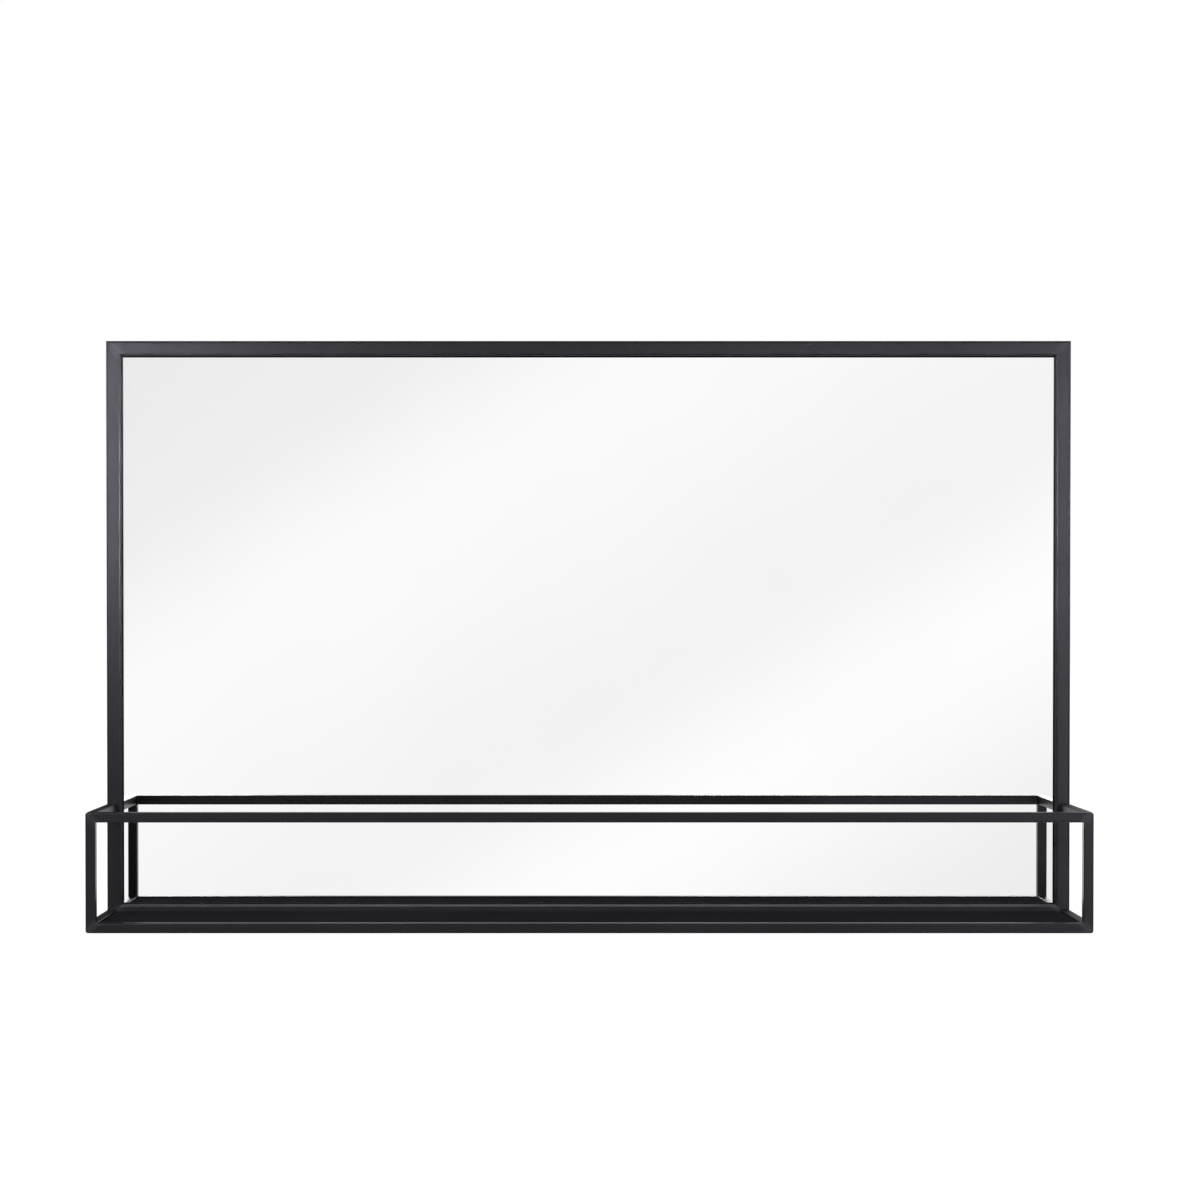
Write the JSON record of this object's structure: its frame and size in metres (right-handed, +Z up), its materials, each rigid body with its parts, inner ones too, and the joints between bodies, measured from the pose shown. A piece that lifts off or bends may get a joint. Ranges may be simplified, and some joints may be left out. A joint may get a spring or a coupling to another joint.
{
  "type": "mirror with shelf",
  "caption": "Wide wall mirror in a welded square-tube steel frame, with an open rail shelf across its foot and keyhole plates behind for hanging.",
  "frame": {"origin": "on the wall plane, midway between the round entries of the two hanging keyholes", "axes": "+X to the right as seen from the room, +Y into the wall, +Z up; the mirror faces -Y"},
  "size_m": [1, 0.147, 0.6],
  "materials": {
    "frame_steel": "satin",
    "rail_steel": "satin",
    "shelf_sheet": "satin",
    "back_steel": "satin",
    "mirror_glass": "polished",
    "foam_tape": "matte",
    "backing_board": "matte",
    "zinc_screws": "satin",
    "bumper_rubber": "matte"
  },
  "bodies": {
    "root": {"frame_top_tube": "frame_steel", "frame_bottom_tube": "frame_steel", "frame_left_tube": "frame_steel", "frame_right_tube": "frame_steel", "shelf_front_top_rail": "rail_steel", "shelf_front_bottom_rail": "rail_steel", "shelf_left_post": "rail_steel", "shelf_right_post": "rail_steel", "shelf_left_top_rail": "rail_steel", "shelf_right_top_rail": "rail_steel", "shelf_left_bottom_rail": "rail_steel", "shelf_right_bottom_rail": "rail_steel", "shelf_plate": "shelf_sheet", "mirror_glass": "mirror_glass", "glass_tape_strips": "foam_tape", "backing_board": "backing_board", "top_board_lugs": "back_steel", "bottom_board_lugs": "back_steel", "left_board_lugs": "back_steel", "right_board_lugs": "back_steel", "board_screws": "zinc_screws", "left_hanger_plate": "back_steel", "right_hanger_plate": "back_steel", "wall_bumpers": "bumper_rubber"}
  },
  "joints": []
}
